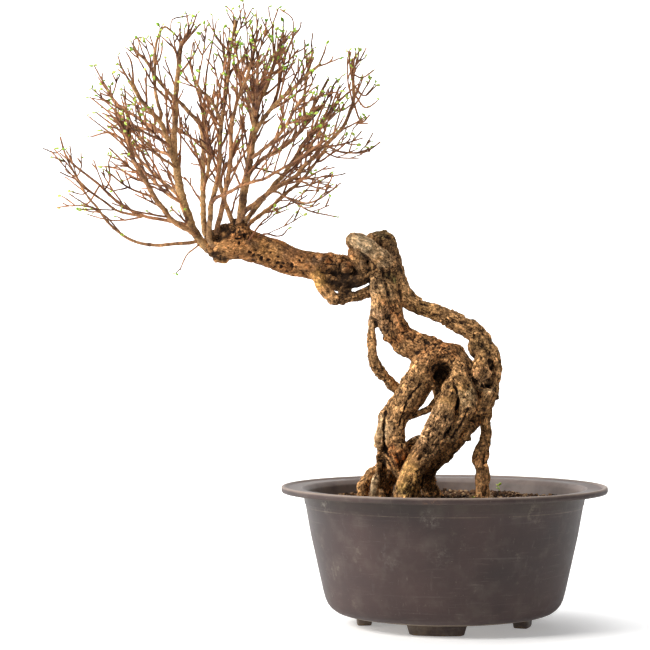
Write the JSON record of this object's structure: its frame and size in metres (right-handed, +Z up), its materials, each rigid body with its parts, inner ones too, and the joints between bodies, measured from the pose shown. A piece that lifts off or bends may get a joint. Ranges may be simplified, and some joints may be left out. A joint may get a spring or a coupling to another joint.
{
  "type": "chinese elm bonsai",
  "caption": "Chinese elm bonsai with a leaning trunk, twisting exposed roots and a round twiggy crown, in a round brown plastic training pot.",
  "frame": {"origin": "centre of the underside of the whole object's box, on the surface that the pot's feet stand on", "axes": "+Z up, the longest extent; -Y towards the front of the tree; -X towards the side that the crown leans to"},
  "size_m": [0.4906, 0.28, 0.54],
  "materials": {
    "pot_plastic": "matte, scuffed",
    "soil": "granular",
    "bark": "rough bark",
    "twigs": "smooth young bark",
    "leaf_buds": "soft new leaf"
  },
  "bodies": {
    "root": {"pot": "pot_plastic", "soil": "soil", "trunk_and_roots": "bark", "branch_far_left": "twigs", "branch_left": "twigs", "branch_centre_left": "twigs", "branch_centre": "twigs", "branch_stub": "twigs", "branch_upright": "twigs", "branch_right_front": "twigs", "branch_right_middle": "twigs", "branch_right_back": "twigs", "sprout_upper": "twigs", "sprout_lower": "twigs"}
  },
  "joints": []
}
